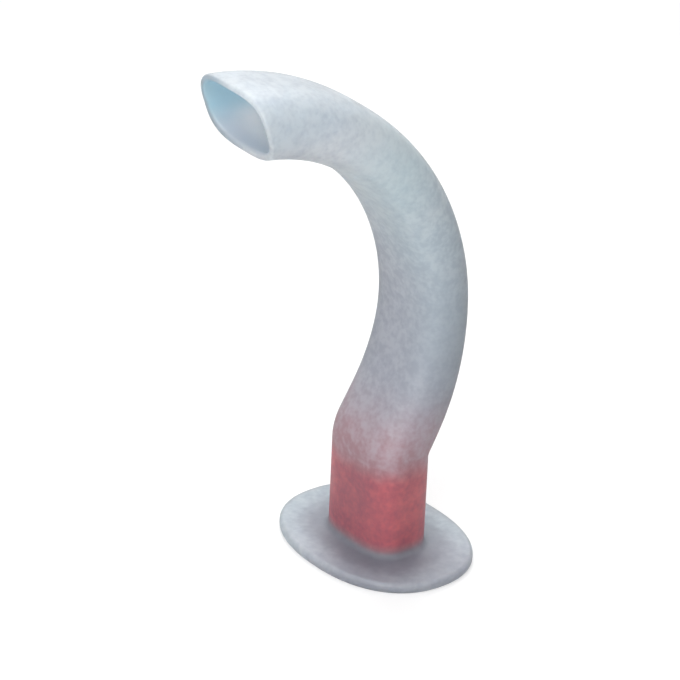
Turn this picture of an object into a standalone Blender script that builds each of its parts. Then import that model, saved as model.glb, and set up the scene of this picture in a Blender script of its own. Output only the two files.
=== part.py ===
"""Oropharyngeal airway in the 100 mm size: a curved oval tube moulded in one with its flange, and the
hard bite block that is pressed into its mouth end.

The flange stands on the XY plane, outer face down, and the tube rises along +Z and curls over towards -X.
The tube is symmetric about the XZ plane. In its sections "width" is measured along Y, from cheek to cheek,
and "depth" in the XZ plane, from the tongue side (-X) to the palate side (+X).
"""

import math

import bmesh
import bpy

MM = 0.001

# The flange, a rounded oval plate round the mouth end.
FLANGE_WIDTH = 39.0 * MM
FLANGE_DEPTH = 29.6 * MM
FLANGE_THICKNESS = 2.0 * MM
FLANGE_EDGE_RADIUS = 0.8 * MM
FLANGE_FULLNESS = 2.25
FILLET_RADIUS = 1.0 * MM
FILLET_SINK = 0.02 * MM

# The route of the tube's centreline. A lean is the angle from +Z, and it is positive towards +X.
BITE_LENGTH = 19.9 * MM
BEND_RADIUS = 6.0 * MM
BEND_LEAN = math.radians(29.8)
NECK_LENGTH = 4.0 * MM
LOWER_CURVE_RADIUS = 41.0 * MM
MIDDLE_LEAN = math.radians(-15.0)
UPPER_CURVE_RADIUS = 49.0 * MM
TIP_LEAN = math.radians(-83.8)

# The tube's outer sections: along the bite, at the waist above the bend, and at the tip.
BITE_WIDTH = 18.6 * MM
BITE_DEPTH = 12.8 * MM
WAIST_WIDTH = 18.0 * MM
WAIST_DEPTH = 10.8 * MM
TIP_WIDTH = 18.7 * MM
TIP_DEPTH = 13.0 * MM
TUBE_FULLNESS = 3.0
WAIST_SHARE = 0.3
FLARE_POWER = 1.5

# The wall is thickest along the bite, and thins from the waist to the tip.
TUBE_WALL = 2.0 * MM
TIP_WALL = 1.2 * MM

# The tip is cut aslant, longest on the palate side, where its crown and its corners are rounded back.
TIP_CUT_ANGLE = math.radians(26.5)
TIP_CROWN_SETBACK = 1.2 * MM
TIP_CORNER_SETBACK = 0.6 * MM
TIP_BLEND_LENGTH = 14.0 * MM

# The seat of the bite block in the tube's mouth end, and the bite block.
SEAT_WALL = 1.3 * MM
FIT_CLEARANCE = 0.3 * MM
BLOCK_LENGTH = 20.2 * MM
BLOCK_WALL = 1.4 * MM
BLOCK_LEAD_IN = 0.5 * MM
LIP_WIDTH = 0.6 * MM
LIP_THICKNESS = 0.8 * MM
MOUTH_RADIUS = 0.7 * MM

# How finely the rounded shapes are divided.
RING_POINT_COUNT = 40
FLANGE_CORNER_COUNT = 64
BEND_STATIONS = 8
CURVE_STATIONS = 23
BLEND_STATIONS = 3
ARC_STEPS = 4
CUT_OVERRUN = 2.0 * MM

SEAT_DEPTH = BLOCK_LENGTH + FIT_CLEARANCE


def straight(length):
    return length, 0.0


def arc(radius, lean_from, lean_to):
    turn = lean_to - lean_from
    return radius * abs(turn), math.copysign(1 / radius, turn)


# Each stretch of the centreline is its length and its curvature.
STRETCHES = (
    straight(BITE_LENGTH),
    arc(BEND_RADIUS, 0.0, BEND_LEAN),
    straight(NECK_LENGTH),
    arc(LOWER_CURVE_RADIUS, BEND_LEAN, MIDDLE_LEAN),
    arc(UPPER_CURVE_RADIUS, MIDDLE_LEAN, TIP_LEAN),
)
BEND_END = STRETCHES[0][0] + STRETCHES[1][0]
TUBE_LENGTH = sum(length for length, curvature in STRETCHES)
WAIST_PLACE = BITE_LENGTH + WAIST_SHARE * (TUBE_LENGTH - BITE_LENGTH)


def centreline(along):
    """The x, the z and the lean of the centreline at a distance along it. The last arc runs on past the tip."""
    x = z = lean = 0.0
    for stretch, (length, curvature) in enumerate(STRETCHES, 1):
        run = along if stretch == len(STRETCHES) else min(along, length)
        new_lean = lean + curvature * run
        if curvature:
            x += (math.cos(lean) - math.cos(new_lean)) / curvature
            z += (math.sin(new_lean) - math.sin(lean)) / curvature
        else:
            x += run * math.sin(lean)
            z += run * math.cos(lean)
        lean = new_lean
        along -= run
        if along <= 0:
            break
    return x, z, lean


def clamped(share):
    return min(max(share, 0.0), 1.0)


def eased(share):
    """0 to 1 with a level start and end."""
    share = clamped(share)
    return share * share * (3 - 2 * share)


def tube_section(along):
    """Half the tube's width, half its depth and its wall at a distance along the centreline."""
    to_waist = eased((along - BITE_LENGTH) / (WAIST_PLACE - BITE_LENGTH))
    to_tip = clamped((along - WAIST_PLACE) / (TUBE_LENGTH - WAIST_PLACE)) ** FLARE_POWER
    width = BITE_WIDTH + (WAIST_WIDTH - BITE_WIDTH) * to_waist + (TIP_WIDTH - WAIST_WIDTH) * to_tip
    depth = BITE_DEPTH + (WAIST_DEPTH - BITE_DEPTH) * to_waist + (TIP_DEPTH - WAIST_DEPTH) * to_tip
    wall = TUBE_WALL + (TIP_WALL - TUBE_WALL) * to_tip
    return width / 2, depth / 2, wall


def ring_lean(along, lean):
    """The lean of a ring's own plane. Rings turn over a longer stretch than the bend, so that none cross."""
    turn_start, turn_end = BITE_LENGTH - NECK_LENGTH, BEND_END + NECK_LENGTH
    if along >= turn_end:
        return lean
    return BEND_LEAN * eased((along - turn_start) / (turn_end - turn_start))


def oval_shares(count, fullness):
    """Points round a superellipse as (depth, width) shares of its half sizes. A fullness of 2 is an ellipse."""
    shares = []
    for step in range(count):
        angle = 2 * math.pi * (step + 0.5) / count
        depth, width = math.sin(angle), math.cos(angle)
        shares.append([math.copysign(abs(side) ** (2 / fullness), side) for side in (depth, width)])
    return shares


def level_ring(half_width, half_depth, z):
    """A ring of the tube's oval, level, round the Z axis."""
    return [
        (depth * half_depth, width * half_width, z)
        for depth, width in oval_shares(RING_POINT_COUNT, TUBE_FULLNESS)
    ]


def tip_cut(depth, width):
    """How far the tip's edge lies ahead of the centreline's end, for a point given as shares of the section."""
    slope = depth * TIP_DEPTH / 2 * math.tan(TIP_CUT_ANGLE)
    crown = TIP_CROWN_SETBACK * max(depth, 0.0) ** 2
    corner = TIP_CORNER_SETBACK * width**2 * (1 + depth) / 2
    return slope - crown - corner


def tube_ring(along, inset_share, slant=0.0, bulge=0.0):
    """A ring of the tube, inset from its outer face by a share of the wall.

    A slant of 1 lays the ring along the tip's edge, and 0 square to the centreline. The bulge moves it
    further along the tube.
    """
    ring = []
    for depth, width in oval_shares(RING_POINT_COUNT, TUBE_FULLNESS):
        place = along + slant * (tip_cut(depth, width) - TIP_WALL / 2) + bulge
        x, z, lean = centreline(place)
        half_width, half_depth, wall = tube_section(place)
        plane = ring_lean(place, lean)
        outward = depth * (half_depth - inset_share * wall) / math.cos(lean - plane)
        sideways = width * (half_width - inset_share * wall)
        ring.append((x + outward * math.cos(plane), sideways, z - outward * math.sin(plane)))
    return ring


def wall_rings(inset_share):
    """The rings of one face of the tube's wall, from where they start to turn up to the tip's edge."""
    turn = [
        BITE_LENGTH - NECK_LENGTH + (BEND_END - BITE_LENGTH + 2 * NECK_LENGTH) * step / BEND_STATIONS
        for step in range(BEND_STATIONS)
    ]
    curve_start, blend_start = BEND_END + NECK_LENGTH, TUBE_LENGTH - TIP_BLEND_LENGTH
    curve = [
        curve_start + (blend_start - curve_start) * step / CURVE_STATIONS for step in range(CURVE_STATIONS)
    ]
    rings = [tube_ring(along, inset_share) for along in turn + curve]
    for step in range(BLEND_STATIONS + 1):
        slant = step / BLEND_STATIONS
        rings.append(tube_ring(blend_start + TIP_BLEND_LENGTH * slant, inset_share, slant))
    return rings


def fillet_rings():
    """The flare with which the tube's outer face runs out into the flange's inner face."""
    foot = FLANGE_THICKNESS - FILLET_SINK
    rings = [tube_foot_ring(FILLET_RADIUS, FLANGE_THICKNESS / 2)]
    for step in range(ARC_STEPS + 1):
        angle = math.pi / 2 * step / ARC_STEPS
        grow = FILLET_RADIUS * (1 - math.sin(angle))
        rings.append(tube_foot_ring(grow, foot + FILLET_RADIUS * (1 - math.cos(angle))))
    return rings


def tube_foot_ring(grow, z):
    return level_ring(BITE_WIDTH / 2 + grow, BITE_DEPTH / 2 + grow, z)


def rim_rings():
    """The half round of the wall's edge at the tip, from its outer face to its inner one."""
    rings = []
    for step in range(1, 2 * ARC_STEPS):
        angle = math.pi * step / (2 * ARC_STEPS)
        inset_share = (1 - math.cos(angle)) / 2
        rings.append(tube_ring(TUBE_LENGTH, inset_share, 1.0, TIP_WALL / 2 * math.sin(angle)))
    return rings


def loft(name, rings, ends_join):
    """A solid skinned over rings of as many points each. Its ends are joined to each other or capped."""
    mesh = bmesh.new()
    loops = [[mesh.verts.new(point) for point in ring] for ring in rings]
    following = loops[1:] + loops[:1] if ends_join else loops[1:]
    for loop, after in zip(loops, following):
        for point in range(len(loop)):
            mesh.faces.new((loop[point - 1], loop[point], after[point], after[point - 1]))
    if not ends_join:
        mesh.faces.new(loops[0])
        mesh.faces.new(loops[-1])
    bmesh.ops.recalc_face_normals(mesh, faces=mesh.faces)
    data = bpy.data.meshes.new(name)
    mesh.to_mesh(data)
    mesh.free()
    return bpy.data.objects.new(name, data)


def flange_plate(name):
    """The flange as a filled outline with rounded edges, made a mesh so that it can be joined and cut."""
    outline = bpy.data.curves.new("flange_outline", "CURVE")
    outline.dimensions = "2D"
    outline.fill_mode = "BOTH"
    outline.extrude = FLANGE_THICKNESS / 2 - FLANGE_EDGE_RADIUS
    outline.bevel_depth = FLANGE_EDGE_RADIUS
    outline.bevel_resolution = 2
    outline.offset = -FLANGE_EDGE_RADIUS
    spline = outline.splines.new("POLY")
    spline.points.add(FLANGE_CORNER_COUNT - 1)
    for point, (depth, width) in zip(spline.points, oval_shares(FLANGE_CORNER_COUNT, FLANGE_FULLNESS)):
        point.co = (depth * FLANGE_DEPTH / 2, width * FLANGE_WIDTH / 2, 0.0, 1.0)
    spline.use_cyclic_u = True
    guide = bpy.data.objects.new("flange_outline", outline)
    guide.location.z = FLANGE_THICKNESS / 2
    bpy.context.scene.collection.objects.link(guide)
    bpy.context.view_layer.update()
    data = bpy.data.meshes.new_from_object(guide.evaluated_get(bpy.context.evaluated_depsgraph_get()))
    plate = bpy.data.objects.new(name, data)
    plate.matrix_world = guide.matrix_world
    bpy.data.objects.remove(guide)
    mesh = bmesh.new()
    mesh.from_mesh(data)
    bmesh.ops.remove_doubles(mesh, verts=mesh.verts, dist=FILLET_SINK / 2)
    bmesh.ops.recalc_face_normals(mesh, faces=mesh.faces)
    mesh.to_mesh(data)
    mesh.free()
    return plate


def tube_shell():
    """The tube's wall: up its outer face, round the rim of the tip and down the inside."""
    foot = level_ring(BITE_WIDTH / 2 - TUBE_WALL, BITE_DEPTH / 2 - TUBE_WALL, FLANGE_THICKNESS / 2)
    rings = fillet_rings() + wall_rings(0.0) + rim_rings() + wall_rings(1.0)[::-1] + [foot]
    return loft("tube_shell", rings, ends_join=True)


def block_ring(grow, z):
    """A ring round the bite block, grown from its sleeve's outer face."""
    inset = SEAT_WALL + FIT_CLEARANCE - grow
    return level_ring(BITE_WIDTH / 2 - inset, BITE_DEPTH / 2 - inset, z)


def seat_cutter():
    """The bite block's outer shape, grown by the clearance of the fit."""
    lip = LIP_WIDTH + FIT_CLEARANCE
    lip_top = LIP_THICKNESS + FIT_CLEARANCE
    profile = (
        (lip, -CUT_OVERRUN),
        (lip, lip_top),
        (FIT_CLEARANCE, lip_top),
        (FIT_CLEARANCE, SEAT_DEPTH),
    )
    return loft("seat_cutter", [block_ring(grow, z) for grow, z in profile], ends_join=False)


def bite_block():
    """A hard oval sleeve with a lip at the mouth, a lead-in at its inner end and a rounded mouth."""
    profile = [
        (LIP_WIDTH, 0.0),
        (LIP_WIDTH, LIP_THICKNESS),
        (0.0, LIP_THICKNESS),
        (0.0, BLOCK_LENGTH - BLOCK_LEAD_IN),
        (-BLOCK_LEAD_IN, BLOCK_LENGTH),
        (-BLOCK_WALL, BLOCK_LENGTH),
    ]
    for step in range(ARC_STEPS + 1):
        angle = math.pi / 2 * step / ARC_STEPS
        grow = MOUTH_RADIUS * (1 - math.cos(angle)) - BLOCK_WALL
        profile.append((grow, MOUTH_RADIUS * (1 - math.sin(angle))))
    return loft("bite_block", [block_ring(grow, z) for grow, z in profile], ends_join=True)


def combine(solid, other, operation):
    modifier = solid.modifiers.new(other.name, "BOOLEAN")
    modifier.operation = operation
    modifier.object = other
    other.hide_render = True
    other.display_type = "WIRE"


def plastic(name, colour, roughness):
    material = bpy.data.materials.new(name)
    material.use_nodes = True
    shader = material.node_tree.nodes["Principled BSDF"]
    shader.inputs["Base Color"].default_value = colour
    shader.inputs["Roughness"].default_value = roughness
    shader.inputs["Metallic"].default_value = 0.0
    return material


def shade(solid, material):
    solid.data.materials.clear()
    solid.data.materials.append(material)
    solid.data.shade_smooth()
    solid.data.set_sharp_from_angle(angle=math.radians(40))


def collection(name):
    made = bpy.data.collections.new(name)
    bpy.context.scene.collection.children.link(made)
    return made


def main():
    for leftover in list(bpy.data.objects):
        bpy.data.objects.remove(leftover)

    shell = tube_shell()
    seat = seat_cutter()
    body = flange_plate("airway_body")
    block = bite_block()
    combine(body, shell, "UNION")
    combine(body, seat, "DIFFERENCE")
    shade(body, plastic("clear_soft_plastic", (0.62, 0.67, 0.72, 1.0), 0.4))
    shade(block, plastic("red_hard_plastic", (0.55, 0.08, 0.10, 1.0), 0.35))

    root = bpy.data.objects.new("airway", None)
    places = [point.co.x for point in shell.data.vertices] + [point.co.x for point in body.data.vertices]
    root.location.x = -(min(places) + max(places)) / 2
    pieces, cutters = collection("oropharyngeal_airway"), collection("construction")
    for solid in (root, body, block):
        pieces.objects.link(solid)
    for solid in (shell, seat):
        cutters.objects.link(solid)
    for solid in (body, block, shell, seat):
        solid.parent = root


main()
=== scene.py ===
"""The looks of the oropharyngeal airway: a milky soft plastic tube with its flange, and the red hard bite
block that shows through its mouth end.

Both pieces are skinned afresh over the same rule as the solids that they replace, with finer facets and
softened edges. A ring's place "along" is measured up the tube's centreline from the flange's outer face.
"Width" is along Y and "depth" in the XZ plane, from the tongue side (-X) to the palate side (+X).
"""

import math
from collections import namedtuple

import bmesh
import bpy
from mathutils import Matrix, Vector


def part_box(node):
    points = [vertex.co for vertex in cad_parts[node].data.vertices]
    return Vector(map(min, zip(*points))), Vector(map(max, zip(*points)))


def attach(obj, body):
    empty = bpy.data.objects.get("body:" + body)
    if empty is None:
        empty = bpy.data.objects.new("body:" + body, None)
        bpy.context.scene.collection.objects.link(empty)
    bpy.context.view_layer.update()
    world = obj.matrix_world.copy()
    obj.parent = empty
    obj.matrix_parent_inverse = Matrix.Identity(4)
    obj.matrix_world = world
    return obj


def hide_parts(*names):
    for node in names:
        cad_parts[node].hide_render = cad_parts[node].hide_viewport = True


# Lengths are in metres, and angles in radians.
MM = 0.001

# The flange.
FLANGE_WIDTH = 39.0 * MM
FLANGE_DEPTH = 29.6 * MM
FLANGE_THICKNESS = 2.0 * MM
FLANGE_EDGE_RADIUS = 0.8 * MM
FLANGE_FULLNESS = 2.25
FILLET_RADIUS = 1.0 * MM

# The route of the tube's centreline. A lean is the angle from +Z, and it is positive towards +X.
BITE_LENGTH = 19.9 * MM
BEND_RADIUS = 6.0 * MM
BEND_LEAN = math.radians(29.8)
NECK_LENGTH = 4.0 * MM
LOWER_CURVE_RADIUS = 41.0 * MM
MIDDLE_LEAN = math.radians(-15.0)
UPPER_CURVE_RADIUS = 49.0 * MM
TIP_LEAN = math.radians(-83.8)

# The tube's outer sections and its wall.
BITE_WIDTH = 18.6 * MM
BITE_DEPTH = 12.8 * MM
WAIST_WIDTH = 18.0 * MM
WAIST_DEPTH = 10.8 * MM
TIP_WIDTH = 18.7 * MM
TIP_DEPTH = 13.0 * MM
TUBE_FULLNESS = 3.0
WAIST_SHARE = 0.3
FLARE_POWER = 1.5
TUBE_WALL = 2.0 * MM
TIP_WALL = 1.2 * MM

# The slanted edge of the tip.
TIP_CUT_ANGLE = math.radians(26.5)
TIP_CROWN_SETBACK = 1.2 * MM
TIP_CORNER_SETBACK = 0.6 * MM
TIP_BLEND_LENGTH = 14.0 * MM

# The seat of the bite block, and the bite block.
SEAT_WALL = 1.3 * MM
FIT_CLEARANCE = 0.3 * MM
BLOCK_LENGTH = 20.2 * MM
BLOCK_WALL = 1.4 * MM
BLOCK_LEAD_IN = 0.5 * MM
LIP_WIDTH = 0.6 * MM
LIP_THICKNESS = 0.8 * MM
MOUTH_RADIUS = 0.7 * MM
SEAT_DEPTH = BLOCK_LENGTH + FIT_CLEARANCE

# How finely the pieces are skinned, and how far moulded edges are softened.
RING_POINT_COUNT = 128
RING_SPACING = 0.8 * MM
CORNER_STEPS = 6
CORNER_MARGIN_SHARE = 1.2
RIM_STEPS = 14
EDGE_SOFTNESS = 0.15 * MM

# What follows from these, along the centreline.
TURN_END = BITE_LENGTH + BEND_RADIUS * BEND_LEAN + NECK_LENGTH
LOWER_CURVE_LENGTH = LOWER_CURVE_RADIUS * (BEND_LEAN - MIDDLE_LEAN)
TUBE_LENGTH = TURN_END + LOWER_CURVE_LENGTH + UPPER_CURVE_RADIUS * (MIDDLE_LEAN - TIP_LEAN)
WAIST_PLACE = BITE_LENGTH + WAIST_SHARE * (TUBE_LENGTH - BITE_LENGTH)

# The camera, in the photograph's frame of 680 by 680 pixels: where it looks from, how large the object
# appears, and the pixel of the point half way up that the view is measured from.
VIEW_AZIMUTH = math.radians(39.9)
VIEW_ELEVATION = math.radians(27.15)
VIEW_ROLL = math.radians(2.825)
VIEW_DISTANCE = 800.0 * MM
VIEW_HEIGHT = 50.0 * MM
FRAME_PIXELS = 680
PIXELS_PER_METRE = 5.704 / MM
AIM_PIXEL_X = 387.57
AIM_PIXEL_Y = 295.3
SENSOR_WIDTH_MM = 36.0

# The studio. The light from the surround is a share of full white.
WHITE = (1.0, 1.0, 1.0, 1.0)
BLACK = (0.0, 0.0, 0.0, 1.0)
KEY_PLACE = (-155.0 * MM, -115.0 * MM, 180.0 * MM)
KEY_SIZE = 260.0 * MM
KEY_POWER = 0.645
BACK_PLACE = (100.0 * MM, 125.0 * MM, 280.0 * MM)
BACK_SIZE = 160.0 * MM
BACK_POWER = 0.59
AMBIENT_LIGHT = 0.22
FLOOR_RADIUS = 2000.0 * MM
FLOOR_POINT_COUNT = 64
FLOOR_DROP = 0.05 * MM
FLOOR_COLOUR = (0.55, 0.55, 0.55, 1.0)
FLOOR_ROUGHNESS = 0.9
FLOOR_GLOW_NEAR = 0.50
FLOOR_GLOW_FAR = 0.90
FLOOR_NEAR_RADIUS = 80.0 * MM
FLOOR_FAR_RADIUS = 600.0 * MM

# The soft plastic's tones.
MILK_PALE = (0.82, 0.86, 0.91, 1.0)
MILK_DARK = (0.56, 0.60, 0.67, 1.0)
AQUA_TONE = (0.54, 0.74, 0.78, 1.0)
# Painted shade: darkens the milk down the tube and on the flange, where less light falls.
LOW_SHADE_TONE = (0.31, 0.325, 0.39, 1.0)
# Painted shade: darkens the flange round the tube's foot, where the tube's shadow falls.
ROOT_SHADE_TONE = (0.19, 0.19, 0.25, 1.0)
# Painted shade: a darker line on the far half of the tip's rim.
RIM_SHADE_TONE = (0.33, 0.40, 0.46, 1.0)
# Painted light and shade inside the tube: darker at the opening, near white further in, and teal shade at
# the top.
LUMEN_END_SHADE = (0.61, 0.64, 0.71, 1.0)
LUMEN_INSIDE_LIGHT = (0.97, 0.96, 0.98, 1.0)
TEAL_SHADE_TONE = (0.28, 0.54, 0.66, 1.0)
# Painted light: the block's red light, painted as a glow up the wall above it.
GLOW_PALE = (0.76, 0.54, 0.60, 1.0)
GLOW_RED = (0.58, 0.29, 0.325, 1.0)
# The block's red, painted onto the wall where it shows through, in a shaded and a lit tone.
SHOWN_SHADED = (0.50, 0.15, 0.205, 1.0)
SHOWN_LIT = (0.84, 0.215, 0.25, 1.0)

# How strongly each tone lies over the milk, and how much paler the milk is painted at the tip, as painted
# light.
AQUA_SHARE = 0.14
LOW_SHADE_SHARE = 0.56
FLANGE_SHADE_SHARE = 0.31
ROOT_SHADE_SHARE = 0.55
RIM_SHADE_SHARE = 0.85
LUMEN_SHARE = 0.90
TEAL_SHADE_SHARE = 0.80
GLOW_SHARE = 0.65
SHOWN_SHARE = 0.92
TIP_LIGHT_SHARE = 0.28

# How far the painted red goes from its shaded tone to its lit one, as painted light and shade: the least,
# and what is added towards either side and towards the palate.
LEAST_LIT_SHARE = 0.24
SIDE_LIT_SHARE = 0.30
PALATE_LIT_SHARE = 0.30

# The heights at which tones and the mottle start and end.
TUBE_FOOT = FLANGE_THICKNESS + 0.2 * MM
TUBE_START = FLANGE_THICKNESS + 1.6 * MM
SHOWN_FOOT = FLANGE_THICKNESS + 0.4 * MM
SHOWN_FULL = FLANGE_THICKNESS + 2.8 * MM
SHOWN_START = BLOCK_LENGTH - 4.5 * MM
SHOWN_TOP = BLOCK_LENGTH + 1.0 * MM
GLOW_TOP = BLOCK_LENGTH + 14.0 * MM
LOW_SHADE_FOOT = 35.0 * MM
LOW_SHADE_TOP = 80.0 * MM
MOTTLE_FOOT = 60.0 * MM
MOTTLE_TOP = 92.0 * MM
TIP_LIGHT_FOOT = 68.0 * MM
TIP_LIGHT_TOP = 86.0 * MM
TEAL_FOOT = 87.0 * MM
TEAL_TOP = 92.5 * MM

# The tones' places along X, at the tip's opening and on the palate side of the bite.
LUMEN_END_PLACE = -21.0 * MM
LUMEN_INSIDE_PLACE = -14.0 * MM
PALATE_START = 9.0 * MM
PALATE_FACE = 16.0 * MM

# The tones' places along Y. The near side is -Y.
RIM_SHADE_NEAR_SIDE = -3.0 * MM
RIM_SHADE_FAR_SIDE = 5.0 * MM
SHADED_SIDE = 2.0 * MM
LIT_SIDE = 9.0 * MM

# The tones' places across the flange, from the tube's foot (0) to the outline (1), and across the tube's
# wall, from its outer face (0) to its inner one (1).
ROOT_SHADE_START_SHARE = 0.15
ROOT_SHADE_EDGE_SHARE = 0.90
RIM_SHADE_EDGE_SHARE = 0.30
RIM_SHADE_END_SHARE = 0.80
LUMEN_EDGE_SHARE = 0.50

# How far the red's edges wander up and down, and how much the blotches count in that beside the clouds.
EDGE_WANDER = 3.5 * MM
EDGE_BLOTCH = 0.5

# The sizes of the plastic's variation. The slow drift of the tone is cut from 4-D noise at its own phase,
# which sets where its pale and deep patches fall.
DRIFT_SIZE = 30.0 * MM
DRIFT_PHASE = 179.0
CLOUD_SIZE = 6.0 * MM
BLOTCH_SIZE = 2.0 * MM
GRAIN_SIZE = 0.8 * MM
NOISE_DETAIL = 1.0
NOISE_MIDDLE = 0.5

# How strongly each variation counts, and how much of the mottle is left at the tip and on the flange. A
# tone that varies about the middle between two colours starts from the even share.
EVEN_SHARE = 0.5
MOTTLE_CLOUD = 0.8
MOTTLE_BLOTCH = 2.6
MOTTLE_GRAIN = 2.4
TIP_MOTTLE = 0.5
FLANGE_MOTTLE = 0.6
AQUA_DRIFT = 1.6
FLANGE_SHADE_DRIFT = 1.8
ROOT_SHADE_WANDER = 0.3
GLOW_DRIFT = 4.0
GLOW_MOTTLE = 0.10
GLOW_BLOTS = 0.7
SHOWN_MOTTLE = 0.45

# The finish of the plastics.
SOFT_ROUGHNESS = 0.52
SOFT_ROUGHNESS_GRAIN = 0.20
SOFT_TRANSMISSION = 0.45
SCATTER_LENGTH = 4.0 * MM
BUMP_STRENGTH = 0.12
BUMP_HEIGHT = 0.05 * MM
HARD_DEEP = (0.50, 0.03, 0.045, 1.0)
HARD_PALE = (0.62, 0.05, 0.07, 1.0)
HARD_ROUGHNESS = 0.36
HARD_ROUGHNESS_BLOTCH = 0.08

# The Mix node has sockets for each kind of data. These are its colours'.
MIX_FIRST_INPUT = 6
MIX_SECOND_INPUT = 7
MIX_OUTPUT = 2


class Socket:
    """A node's output. Arithmetic on it adds Math nodes to its tree."""

    def __init__(self, output):
        self.output = output

    def math(self, operation, *others):
        return Graph(self.output.id_data).math(operation, self, *others)

    def __add__(self, other):
        return self.math("ADD", other)

    def __sub__(self, other):
        return self.math("SUBTRACT", other)

    def __rsub__(self, other):
        return Graph(self.output.id_data).math("SUBTRACT", other, self)

    def __mul__(self, other):
        return self.math("MULTIPLY", other)

    def __truediv__(self, other):
        return self.math("DIVIDE", other)

    def __rtruediv__(self, other):
        return Graph(self.output.id_data).math("DIVIDE", other, self)

    def __pow__(self, other):
        return self.math("POWER", other)

    __radd__ = __add__
    __rmul__ = __mul__


class Graph:
    """A node tree that is being built."""

    def __init__(self, tree):
        self.tree = tree

    def add(self, kind, settings=(), inputs=()):
        """A node of this kind, with its settings made first and then its sockets filled or linked."""
        node = self.tree.nodes.new(kind)
        for name, value in dict(settings).items():
            setattr(node, name, value)
        self.fill(node, inputs)
        return node

    def fill(self, node, inputs):
        for key, value in dict(inputs).items():
            if isinstance(value, Socket):
                self.tree.links.new(value.output, node.inputs[key])
            else:
                node.inputs[key].default_value = value

    def first(self, kind, settings=(), inputs=()):
        return Socket(self.add(kind, settings, inputs).outputs[0])

    def math(self, operation, *values):
        return self.first("ShaderNodeMath", {"operation": operation}, enumerate(values))


def clamped(value):
    """The value, kept between 0 and 1."""
    return value.math("MAXIMUM", 0.0).math("MINIMUM", 1.0)


def eased(value):
    """0 to 1 with a level start and end."""
    share = clamped(value)
    return share * share * (3.0 - 2.0 * share)


def mixed(first, second, share):
    return first + (second - first) * share


# One ring of a skinned wall, as a point of its meridian.
# inset: in from the tube's outer face, as a share of the wall. grow: out from there, as a length.
# slant: 1 lays the ring along the tip's edge. bulge: further along the tube, as a length.
# reach: 1 is the flange's outline. level: 1 lays the ring level, and 0 lets it turn with the bend.
Ring = namedtuple("Ring", "along inset grow slant bulge reach level", defaults=(0.0,) * 6)


def rounded(before, point, after, radius):
    """The rings of a rounded corner, with one more at each end to keep the faces beside it flat."""
    centre = Vector((point.grow, point.along))
    ways = [(Vector((end.grow, end.along)) - centre).normalized() for end in (before, after)]
    half_angle = ways[0].angle(ways[1]) / 2
    cut = radius / math.tan(half_angle)
    hub = centre + (ways[0] + ways[1]).normalized() * (radius / math.sin(half_angle))
    start, end = ((centre + way * cut - hub).normalized() for way in ways)
    spots = [hub + start.slerp(end, step / CORNER_STEPS) * radius for step in range(CORNER_STEPS + 1)]
    spots.insert(0, centre + ways[0] * cut * CORNER_MARGIN_SHARE)
    spots.append(centre + ways[1] * cut * CORNER_MARGIN_SHARE)
    return [point._replace(grow=spot.x, along=spot.y) for spot in spots]


def softened(first, corners, last):
    """The rings from first to last, both left out, with each corner given as (ring, radius).

    A radius of 0 keeps a corner sharp, and None only leads the next corner's rounding its way.
    """
    points = [first] + [ring for ring, radius in corners] + [last]
    rings = []
    for index, (ring, radius) in enumerate(corners, 1):
        if radius:
            rings += rounded(points[index - 1], ring, points[index + 1], radius)
        elif radius is not None:
            rings.append(ring)
    return rings


def spaced(start, end):
    """Places from start up to, but not at, end, about the ring spacing apart."""
    count = max(round((end - start) / RING_SPACING), 1)
    return [start + (end - start) * step / count for step in range(count)]


def wall_face(inset, start):
    """The rings of one face of the tube's wall, from its foot to the tip's edge."""
    blend_start = TUBE_LENGTH - TIP_BLEND_LENGTH
    rings = []
    for along in spaced(start, blend_start) + spaced(blend_start, TUBE_LENGTH) + [TUBE_LENGTH]:
        slant = max((along - blend_start) / TIP_BLEND_LENGTH, 0.0)
        level = max((TURN_END - along) / (TURN_END - SEAT_DEPTH), 0.0)
        rings.append(Ring(along, inset, slant=slant, level=inset * level))
    return rings


def rim():
    """The half round of the wall's edge at the tip, from its outer face to its inner one."""
    rings = []
    for step in range(1, RIM_STEPS):
        angle = math.pi * step / RIM_STEPS
        bulge = TIP_WALL / 2 * math.sin(angle)
        rings.append(Ring(TUBE_LENGTH, (1 - math.cos(angle)) / 2, slant=1.0, bulge=bulge))
    return rings


def body_meridian():
    """Round the wall's section: out along the flange, up the tube, round the tip's rim and back down."""
    mouth = Ring(0.0, grow=LIP_WIDTH - SEAT_WALL, level=1.0)
    ledge = mouth._replace(along=LIP_THICKNESS + FIT_CLEARANCE)
    underside = Ring(0.0, reach=1.0, level=1.0)
    topside = underside._replace(along=FLANGE_THICKNESS)
    inwards = -FLANGE_EDGE_RADIUS * CORNER_MARGIN_SHARE
    foot = Ring(FLANGE_THICKNESS, level=1.0)
    foot_end = foot._replace(along=FLANGE_THICKNESS + FILLET_RADIUS * CORNER_MARGIN_SHARE)
    flange = softened(
        ledge,
        [
            (mouth, EDGE_SOFTNESS),
            (mouth._replace(grow=0.0), 0.0),
            (underside._replace(grow=inwards), None),
            (underside, FLANGE_EDGE_RADIUS),
            (topside, FLANGE_EDGE_RADIUS),
            (topside._replace(grow=inwards), None),
            (foot._replace(grow=FILLET_RADIUS * CORNER_MARGIN_SHARE), None),
            (foot, FILLET_RADIUS),
        ],
        foot_end,
    )
    shoulder = Ring(SEAT_DEPTH, grow=-TUBE_WALL, level=1.0)
    seat = shoulder._replace(grow=-SEAT_WALL)
    lumen_foot = shoulder._replace(along=SEAT_DEPTH + 2 * EDGE_SOFTNESS)
    inside = softened(
        lumen_foot,
        [
            (shoulder, EDGE_SOFTNESS),
            (seat, EDGE_SOFTNESS),
            (seat._replace(along=ledge.along), EDGE_SOFTNESS),
            (ledge, EDGE_SOFTNESS),
        ],
        mouth,
    )
    outer = wall_face(0.0, foot_end.along + RING_SPACING)
    inner = wall_face(1.0, lumen_foot.along)
    return flange + outer + rim() + inner[::-1] + inside


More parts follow.
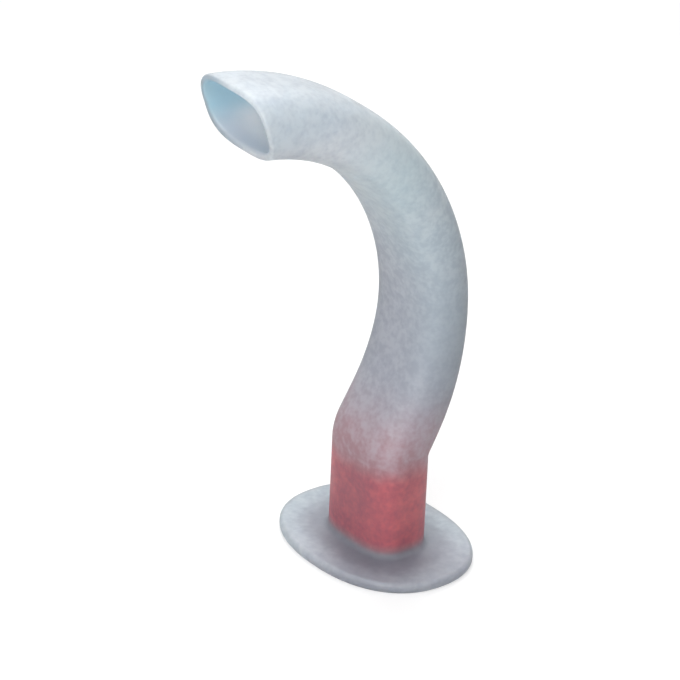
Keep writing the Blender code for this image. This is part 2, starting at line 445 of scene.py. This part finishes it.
def block_meridian():
    """Round the bite block's section: out along the lip, up the sleeve, over its lead-in and back."""
    sleeve = Ring(0.0, grow=-SEAT_WALL - FIT_CLEARANCE, level=1.0)

    def at(grow, along):
        return sleeve._replace(grow=sleeve.grow + grow, along=along)

    corners = [
        (at(-BLOCK_WALL, 0.0), MOUTH_RADIUS),
        (at(LIP_WIDTH, 0.0), EDGE_SOFTNESS),
        (at(LIP_WIDTH, LIP_THICKNESS), EDGE_SOFTNESS),
        (at(0.0, LIP_THICKNESS), EDGE_SOFTNESS),
        (at(0.0, BLOCK_LENGTH - BLOCK_LEAD_IN), EDGE_SOFTNESS),
        (at(-BLOCK_LEAD_IN, BLOCK_LENGTH), EDGE_SOFTNESS),
        (at(-BLOCK_WALL, BLOCK_LENGTH), EDGE_SOFTNESS),
    ]
    return softened(corners[-1][0], corners, corners[0][0])


def meridian_mesh(name, rings):
    """A closed line with a point for each ring, which carries the ring's values as attributes."""
    count = len(rings)
    mesh = bpy.data.meshes.new(name)
    points = [(ring.grow, 0.0, ring.along) for ring in rings]
    mesh.from_pydata(points, [(index, (index + 1) % count) for index in range(count)], [])
    for field in Ring._fields:
        attribute = mesh.attributes.new(field, "FLOAT", "POINT")
        attribute.data.foreach_set("value", [getattr(ring, field) for ring in rings])
    return mesh


# The skin tree's sizes and their values. The mouth's axis is set from the frame.
SKIN_SIZES = {
    "Mouth Axis": 0.0,
    "Bite Length": BITE_LENGTH,
    "Bend Radius": BEND_RADIUS,
    "Bend Lean": BEND_LEAN,
    "Neck Length": NECK_LENGTH,
    "Lower Curve Radius": LOWER_CURVE_RADIUS,
    "Middle Lean": MIDDLE_LEAN,
    "Upper Curve Radius": UPPER_CURVE_RADIUS,
    "Tube Length": TUBE_LENGTH,
    "Waist Place": WAIST_PLACE,
    "Bite Width": BITE_WIDTH,
    "Bite Depth": BITE_DEPTH,
    "Waist Width": WAIST_WIDTH,
    "Waist Depth": WAIST_DEPTH,
    "Tip Width": TIP_WIDTH,
    "Tip Depth": TIP_DEPTH,
    "Tube Fullness": TUBE_FULLNESS,
    "Flare Power": FLARE_POWER,
    "Tube Wall": TUBE_WALL,
    "Tip Wall": TIP_WALL,
    "Tip Cut Angle": TIP_CUT_ANGLE,
    "Tip Crown Setback": TIP_CROWN_SETBACK,
    "Tip Corner Setback": TIP_CORNER_SETBACK,
    "Flange Width": FLANGE_WIDTH,
    "Flange Depth": FLANGE_DEPTH,
    "Flange Fullness": FLANGE_FULLNESS,
}


def centreline(along, size):
    """The centreline's x, z and lean at a distance along it, and how far it has turned past the bend."""
    bend_radius, lower_radius = size["Bend Radius"], size["Lower Curve Radius"]
    stretches = (
        (size["Bite Length"], None, None),
        (bend_radius * size["Bend Lean"], bend_radius, 1.0),
        (size["Neck Length"], None, None),
        (lower_radius * (size["Bend Lean"] - size["Middle Lean"]), lower_radius, -1.0),
        (None, size["Upper Curve Radius"], -1.0),
    )
    x = z = lean = turned = along * 0.0
    for length, radius, way in stretches:
        run = along.math("MAXIMUM", 0.0)
        if length is not None:
            run = run.math("MINIMUM", length)
            along = along - length
        if radius is None:
            x, z = x + run * lean.math("SINE"), z + run * lean.math("COSINE")
            continue
        turn = run / radius * way
        if way < 0:
            turned = turned + turn
        new_lean = lean + turn
        x = x + (lean.math("COSINE") - new_lean.math("COSINE")) * radius * way
        z = z + (new_lean.math("SINE") - lean.math("SINE")) * radius * way
        lean = new_lean
    return x, z, lean, turned


def tube_section(along, size):
    """Half the tube's width, half its depth and its wall at a distance along the centreline."""
    bite, waist = size["Bite Length"], size["Waist Place"]
    to_waist = eased((along - bite) / (waist - bite))
    to_tip = clamped((along - waist) / (size["Tube Length"] - waist)) ** size["Flare Power"]
    width = mixed(mixed(size["Bite Width"], size["Waist Width"], to_waist), size["Tip Width"], to_tip)
    depth = mixed(mixed(size["Bite Depth"], size["Waist Depth"], to_waist), size["Tip Depth"], to_tip)
    return width / 2.0, depth / 2.0, mixed(size["Tube Wall"], size["Tip Wall"], to_tip)


def ring_lean(along, turned, size):
    """The lean of a ring's own plane, which turns over a longer stretch than the bend."""
    turn_start = size["Bite Length"] - size["Neck Length"]
    turn_length = size["Bend Radius"] * size["Bend Lean"] + size["Neck Length"] * 2.0
    return size["Bend Lean"] * eased((along - turn_start) / turn_length) + turned


def oval_share(side, fullness):
    """A sine or cosine as the share of a superellipse's half size."""
    return side.math("ABSOLUTE") ** (2.0 / fullness) * side.math("SIGN")


def tip_cut(depth, width, size):
    """How far the tip's edge lies ahead of the centreline's end, at these shares of the half section."""
    slope = depth * (size["Tip Depth"] / 2.0) * size["Tip Cut Angle"].math("TANGENT")
    crown = size["Tip Crown Setback"] * depth.math("MAXIMUM", 0.0) ** 2.0
    corner = size["Tip Corner Setback"] * width * width * (1.0 + depth) / 2.0
    return slope - crown - corner


def stored(graph, name):
    """A value that the skin carries as an attribute."""
    return graph.first("GeometryNodeInputNamedAttribute", {"data_type": "FLOAT"}, {"Name": name})


def ring_place(graph, size, turn):
    """Where a point of the skin lies, from its ring's attributes and its turn round the ring."""
    ring = {field: stored(graph, field) for field in Ring._fields}
    sine, cosine = turn.math("SINE"), turn.math("COSINE")
    depth, width = (oval_share(side, size["Tube Fullness"]) for side in (sine, cosine))
    ahead = ring["slant"] * (tip_cut(depth, width, size) - size["Tip Wall"] / 2.0)
    along = ring["along"] + ahead + ring["bulge"]
    x, z, lean, turned = centreline(along, size)
    half_width, half_depth, wall = tube_section(along, size)
    plane = ring_lean(along, turned, size) * (1.0 - ring["level"])
    grow = ring["grow"] - ring["inset"] * wall
    outward = depth * (half_depth + grow) / (lean - plane).math("COSINE")
    sideways = width * (half_width + grow)
    flange_depth, flange_width = (oval_share(side, size["Flange Fullness"]) for side in (sine, cosine))
    outward = mixed(outward, flange_depth * (size["Flange Depth"] / 2.0 + grow), ring["reach"])
    sideways = mixed(sideways, flange_width * (size["Flange Width"] / 2.0 + grow), ring["reach"])
    place = {
        "X": size["Mouth Axis"] + x + outward * plane.math("COSINE"),
        "Y": sideways,
        "Z": z - outward * plane.math("SINE"),
    }
    return graph.first("ShaderNodeCombineXYZ", (), place)


def skin_tree():
    """Sweeps a meridian round a ring of points, and puts every point where its ring and its turn say."""
    tree = bpy.data.node_groups.new("ring_skin", "GeometryNodeTree")
    graph = Graph(tree)
    tree.interface.new_socket("Geometry", in_out="OUTPUT", socket_type="NodeSocketGeometry")
    kinds = {"Geometry": "Geometry", "Ring Points": "Int", "Material": "Material"}
    for name, kind in {**kinds, **dict.fromkeys(SKIN_SIZES, "Float")}.items():
        tree.interface.new_socket(name, in_out="INPUT", socket_type="NodeSocket" + kind)
    given = graph.add("NodeGroupInput").outputs
    size = {name: Socket(given[name]) for name in SKIN_SIZES}
    count = Socket(given["Ring Points"])

    meridian = graph.first("GeometryNodeMeshToCurve", (), {"Mesh": Socket(given["Geometry"])})
    circle = graph.first("GeometryNodeCurvePrimitiveCircle", (), {"Resolution": count})
    # The points of a ring lie half a step off its axes.
    turn = (graph.first("GeometryNodeInputIndex") + 0.5) / count * math.tau
    circle = graph.first(
        "GeometryNodeStoreNamedAttribute",
        {"data_type": "FLOAT", "domain": "POINT"},
        {"Geometry": circle, "Name": "turn", "Value": turn},
    )
    skin = graph.first("GeometryNodeCurveToMesh", (), {"Curve": circle, "Profile Curve": meridian})
    place = ring_place(graph, size, stored(graph, "turn"))
    skin = graph.first("GeometryNodeSetPosition", (), {"Geometry": skin, "Position": place})
    skin = graph.first("GeometryNodeSetShadeSmooth", (), {"Geometry": skin})
    skin = graph.first("GeometryNodeRealizeInstances", (), {"Geometry": skin})
    material = Socket(given["Material"])
    skin = graph.first("GeometryNodeSetMaterial", (), {"Geometry": skin, "Material": material})
    graph.add("NodeGroupOutput", (), {"Geometry": skin})
    return tree


def skinned(name, rings, tree, mouth_axis, material):
    """A piece skinned over its rings, as a plain mesh at the origin."""
    piece = bpy.data.objects.new(name, meridian_mesh(name + "_meridian", rings))
    bpy.context.scene.collection.objects.link(piece)
    own_values = {"Mouth Axis": mouth_axis, "Ring Points": RING_POINT_COUNT, "Material": material}
    values = {**SKIN_SIZES, **own_values}
    modifier = piece.modifiers.new("skin", "NODES")
    modifier.node_group = tree
    for socket in tree.interface.items_tree:
        if socket.in_out == "INPUT" and socket.name in values:
            modifier[socket.identifier] = values[socket.name]
    bpy.context.view_layer.update()
    evaluated = piece.evaluated_get(bpy.context.evaluated_depsgraph_get())
    mesh = bpy.data.meshes.new_from_object(evaluated)
    piece.modifiers.remove(modifier)
    piece.data = mesh
    mesh.name = name
    return piece


def shading(name):
    """A new material's graph and its Principled shader."""
    material = bpy.data.materials.new(name)
    material.use_nodes = True
    return material, Graph(material.node_tree), material.node_tree.nodes["Principled BSDF"]


def colour(graph, share, first, second):
    """A colour between two, each a colour or a socket."""
    inputs = {"Factor": share, MIX_FIRST_INPUT: first, MIX_SECOND_INPUT: second}
    return Socket(graph.add("ShaderNodeMix", {"data_type": "RGBA"}, inputs).outputs[MIX_OUTPUT])


def rising(value, low, high):
    """0 below low and 1 above high, with a soft change between. It falls where low is above high."""
    return eased((value - low) / (high - low))


def object_place(graph):
    """Where a point of a surface is, in its object's own coordinates."""
    return Socket(graph.add("ShaderNodeTexCoord").outputs["Object"])


def noise(graph, place, cell, phase=0.0):
    """Noise of about this cell size, from -0.5 to 0.5."""
    inputs = {"Vector": place, "W": phase, "Scale": 1 / cell, "Detail": NOISE_DETAIL}
    return graph.first("ShaderNodeTexNoise", {"noise_dimensions": "4D"}, inputs) - NOISE_MIDDLE


# What the soft plastic reads at a point of its surface. Its x, side and height are along X, Y and Z. The
# inset and the reach are its ring's. The others are noises, from the slowest to the finest.
Spot = namedtuple("Spot", "x side height inset reach drift cloud blotch grain")


def spot(graph):
    place = object_place(graph)
    axes = graph.add("ShaderNodeSeparateXYZ", (), {"Vector": place}).outputs
    inset, reach = (
        Socket(graph.add("ShaderNodeAttribute", {"attribute_name": name}).outputs["Fac"])
        for name in ("inset", "reach")
    )
    drift = noise(graph, place, DRIFT_SIZE, DRIFT_PHASE)
    finer = (noise(graph, place, cell) for cell in (CLOUD_SIZE, BLOTCH_SIZE, GRAIN_SIZE))
    return Spot(Socket(axes["X"]), Socket(axes["Y"]), Socket(axes["Z"]), inset, reach, drift, *finer)


def milk_colour(graph, at, mottle, tube):
    """Mottled milk, aqua in places, with light and shade painted in: paler at the tip, darker down the
    tube and on the flange, darker still round the tube's foot on the flange, and darker on the far half
    of the tip's rim.
    """
    # Painted light: the milk is painted paler towards the tip, where more light falls.
    tip = rising(at.height, TIP_LIGHT_FOOT, TIP_LIGHT_TOP) * TIP_LIGHT_SHARE
    milk = colour(graph, clamped(EVEN_SHARE + mottle + tip), MILK_DARK, MILK_PALE)
    milk = colour(graph, clamped(AQUA_SHARE + at.drift * AQUA_DRIFT), milk, AQUA_TONE)
    # Painted shade: darker down the tube, away from the light, and unevenly darker on the flange.
    down_tube_shade = rising(at.height, LOW_SHADE_TOP, LOW_SHADE_FOOT) * LOW_SHADE_SHARE
    flange_shade = clamped(FLANGE_SHADE_SHARE - at.drift * FLANGE_SHADE_DRIFT)
    milk = colour(graph, mixed(flange_shade, down_tube_shade, tube), milk, LOW_SHADE_TONE)
    # Painted shade on the flange round the tube's foot, where the tube shades it.
    root = rising(at.reach + at.blotch * ROOT_SHADE_WANDER, ROOT_SHADE_EDGE_SHARE, ROOT_SHADE_START_SHARE)
    milk = colour(graph, root * (1.0 - tube) * ROOT_SHADE_SHARE, milk, ROOT_SHADE_TONE)
    # Painted shade: the tip's rim is painted darker on its far half alone.
    rim = rising(at.inset, 0.0, RIM_SHADE_EDGE_SHARE) * rising(at.inset, 1.0, RIM_SHADE_END_SHARE)
    far_rim_shade = rising(at.side, RIM_SHADE_NEAR_SIDE, RIM_SHADE_FAR_SIDE) * RIM_SHADE_SHARE
    return colour(graph, rim * far_rim_shade, milk, RIM_SHADE_TONE)


def lumen_colour(graph, at):
    """The tube's inside, with light and shade painted in: painted shade at the tip's opening, painted
    light further in, and teal painted shade at the top of the curve.
    """
    inside = rising(at.x, LUMEN_END_PLACE, LUMEN_INSIDE_PLACE)
    lumen = colour(graph, inside, LUMEN_END_SHADE, LUMEN_INSIDE_LIGHT)
    return colour(graph, rising(at.height, TEAL_FOOT, TEAL_TOP) * TEAL_SHADE_SHARE, lumen, TEAL_SHADE_TONE)


def red_behind(graph, at, mottle, tube, milk):
    """The bite block's red, painted onto the milk where it shows through, and a painted glow of its red
    light up the wall above the block.

    Painted light and shade: the red is painted brighter towards both sides, most of all the far one, and
    towards the palate, and duller elsewhere.
    """
    edge = at.height + (at.cloud + at.blotch * EDGE_BLOTCH) * EDGE_WANDER
    # Painted light: a red glow up the wall above the block, fading upwards.
    glow = rising(edge, GLOW_TOP, BLOCK_LENGTH) * tube * (GLOW_SHARE - mottle * GLOW_MOTTLE)
    redness = clamped(EVEN_SHARE - at.drift * GLOW_DRIFT - mottle * GLOW_BLOTS)
    base = colour(graph, clamped(glow), milk, colour(graph, redness, GLOW_PALE, GLOW_RED))
    # Painted light and shade: the red is painted lit towards the sides and the palate.
    palate = rising(at.x, PALATE_START, PALATE_FACE) * PALATE_LIT_SHARE
    lit_share = LEAST_LIT_SHARE + mottle * SHOWN_MOTTLE + palate
    for side in (at.side, at.side.math("ABSOLUTE")):
        lit_share = lit_share + rising(side, SHADED_SIDE, LIT_SIDE) * SIDE_LIT_SHARE
    shown = rising(edge, SHOWN_TOP, SHOWN_START) * rising(at.height, SHOWN_FOOT, SHOWN_FULL)
    tone = colour(graph, clamped(lit_share), SHOWN_SHADED, SHOWN_LIT)
    return colour(graph, shown * SHOWN_SHARE, base, tone)


def soft_plastic():
    """Milky satin plastic, which lets some of the bite block's red through, with more of the red and
    light and shade painted into its colour.
    """
    material, graph, shader = shading("clear_soft_plastic")
    at = spot(graph)
    tube = rising(at.height, TUBE_FOOT, TUBE_START)
    mottle = at.cloud * MOTTLE_CLOUD + at.blotch * MOTTLE_BLOTCH + at.grain * MOTTLE_GRAIN
    mottle = mottle * mixed(TIP_MOTTLE, 1.0, rising(at.height, MOTTLE_TOP, MOTTLE_FOOT))
    mottle = mottle * mixed(FLANGE_MOTTLE, 1.0, tube)
    milk = milk_colour(graph, at, mottle, tube)
    # The inside's painted light and shade lie over the inner face.
    inner = rising(at.inset, LUMEN_EDGE_SHARE, 1.0) * LUMEN_SHARE
    milk = colour(graph, inner, milk, lumen_colour(graph, at))
    pits = {"Strength": BUMP_STRENGTH, "Distance": BUMP_HEIGHT, "Height": at.grain + at.blotch}
    graph.fill(
        shader,
        {
            "Base Color": red_behind(graph, at, mottle, tube, milk),
            "Roughness": SOFT_ROUGHNESS + at.grain * SOFT_ROUGHNESS_GRAIN,
            "Normal": graph.first("ShaderNodeBump", (), pits),
            "Transmission Weight": SOFT_TRANSMISSION,
            "Subsurface Weight": 1.0,
            "Subsurface Radius": (1.0, 1.0, 1.0),
            "Subsurface Scale": SCATTER_LENGTH,
        },
    )
    return material


def hard_plastic():
    """Hard satin plastic, coloured through."""
    material, graph, shader = shading("red_hard_plastic")
    blotch = noise(graph, object_place(graph), BLOTCH_SIZE)
    finish = {
        "Base Color": colour(graph, EVEN_SHARE + blotch, HARD_DEEP, HARD_PALE),
        "Roughness": HARD_ROUGHNESS + blotch * HARD_ROUGHNESS_BLOTCH,
    }
    graph.fill(shader, finish)
    return material


def view_axes():
    """The camera's right, up and forward directions."""
    level = Vector((math.cos(VIEW_AZIMUTH), -math.sin(VIEW_AZIMUTH), 0.0))
    forward = Vector(
        (
            math.sin(VIEW_AZIMUTH) * math.cos(VIEW_ELEVATION),
            math.cos(VIEW_AZIMUTH) * math.cos(VIEW_ELEVATION),
            -math.sin(VIEW_ELEVATION),
        )
    )
    upright = level.cross(forward)
    right = level * math.cos(VIEW_ROLL) + upright * math.sin(VIEW_ROLL)
    return right, upright * math.cos(VIEW_ROLL) - level * math.sin(VIEW_ROLL), forward


def camera(mouth_axis):
    """Stands at the view's distance from the aim, and turns so that the aim falls on its own pixel."""
    right, up, forward = view_axes()
    aim = Vector((mouth_axis, 0.0, VIEW_HEIGHT))
    place = aim - forward * VIEW_DISTANCE
    middle = (
        aim
        + right * ((FRAME_PIXELS / 2 - AIM_PIXEL_X) / PIXELS_PER_METRE)
        + up * ((AIM_PIXEL_Y - FRAME_PIXELS / 2) / PIXELS_PER_METRE)
    )
    back = (place - middle).normalized()
    right = up.cross(back).normalized()
    up = back.cross(right)
    data = bpy.data.cameras.new("camera")
    data.sensor_width = SENSOR_WIDTH_MM
    data.lens = SENSOR_WIDTH_MM * VIEW_DISTANCE * PIXELS_PER_METRE / FRAME_PIXELS
    made = bpy.data.objects.new("camera", data)
    made.matrix_world = Matrix.Translation(place) @ Matrix((right, up, back)).transposed().to_4x4()
    bpy.context.scene.collection.objects.link(made)
    bpy.context.scene.camera = made


def softbox(name, place, aim, size, power):
    """A square softbox, at a place measured from the foot of the aim."""
    data = bpy.data.lights.new(name, "AREA")
    data.size = size
    data.energy = power
    made = bpy.data.objects.new(name, data)
    made.location = Vector(place) + Vector((aim.x, aim.y, 0.0))
    made.rotation_euler = (aim - made.location).to_track_quat("-Z", "Y").to_euler()
    bpy.context.scene.collection.objects.link(made)


def seen_ray(graph):
    """1 for what the camera sees, directly or by a reflection or through the plastic, and else 0."""
    rays = graph.add("ShaderNodeLightPath").outputs
    seen = Socket(rays["Is Camera Ray"])
    for kind in ("Is Glossy Ray", "Is Transmission Ray"):
        seen = seen.math("MAXIMUM", Socket(rays[kind]))
    return seen


def surround():
    """White where it is seen, and dimmer as the light that fills the shadows."""
    world = bpy.data.worlds.new("studio")
    bpy.context.scene.world = world
    world.use_nodes = True
    graph = Graph(world.node_tree)
    strength = AMBIENT_LIGHT + (1.0 - AMBIENT_LIGHT) * seen_ray(graph)
    graph.fill(world.node_tree.nodes["Background"], {"Color": WHITE, "Strength": strength})


def floor():
    """A pale disc, just clear of the flange. Where it is seen it also glows, and it keeps the shadow."""
    mesh = bpy.data.meshes.new("floor")
    disc = bmesh.new()
    drop = Matrix.Translation((0.0, 0.0, -FLOOR_DROP))
    bmesh.ops.create_circle(
        disc, cap_ends=True, segments=FLOOR_POINT_COUNT, radius=FLOOR_RADIUS, matrix=drop
    )
    disc.to_mesh(mesh)
    disc.free()
    made = bpy.data.objects.new("floor", mesh)
    bpy.context.scene.collection.objects.link(made)
    material, graph, shader = shading("pale_floor")
    place = {"Vector": object_place(graph)}
    away = graph.add("ShaderNodeVectorMath", {"operation": "LENGTH"}, place).outputs["Value"]
    far = rising(Socket(away), FLOOR_NEAR_RADIUS, FLOOR_FAR_RADIUS)
    glow = mixed(FLOOR_GLOW_NEAR, FLOOR_GLOW_FAR, far) * seen_ray(graph)
    graph.fill(
        shader,
        {
            "Base Color": FLOOR_COLOUR,
            "Roughness": FLOOR_ROUGHNESS,
            "Emission Color": colour(graph, glow, BLACK, WHITE),
            "Emission Strength": 1.0,
        },
    )
    mesh.materials.append(material)


def studio(mouth_axis):
    """A softbox on the tip's side, so that the light falls off towards the flange, and one behind."""
    aim = Vector((mouth_axis, 0.0, VIEW_HEIGHT))
    softbox("key_softbox", KEY_PLACE, aim, KEY_SIZE, KEY_POWER)
    softbox("back_softbox", BACK_PLACE, aim, BACK_SIZE, BACK_POWER)
    surround()
    floor()


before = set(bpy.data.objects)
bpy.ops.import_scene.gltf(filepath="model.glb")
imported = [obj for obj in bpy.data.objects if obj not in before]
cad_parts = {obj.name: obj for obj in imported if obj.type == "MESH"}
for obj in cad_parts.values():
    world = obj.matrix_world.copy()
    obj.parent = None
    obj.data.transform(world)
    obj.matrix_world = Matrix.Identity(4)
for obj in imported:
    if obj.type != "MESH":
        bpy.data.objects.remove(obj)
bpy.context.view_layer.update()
bpy.context.scene.view_settings.view_transform = "Standard"
block_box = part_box("bite_block")
mouth_axis = (block_box[0].x + block_box[1].x) / 2
tree = skin_tree()
body = skinned("tube_and_flange", body_meridian(), tree, mouth_axis, soft_plastic())
block = skinned("bite_block_sleeve", block_meridian(), tree, mouth_axis, hard_plastic())
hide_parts("airway_body")
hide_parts("bite_block")
for piece in (body, block):
    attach(piece, "root")
camera(mouth_axis)
studio(mouth_axis)
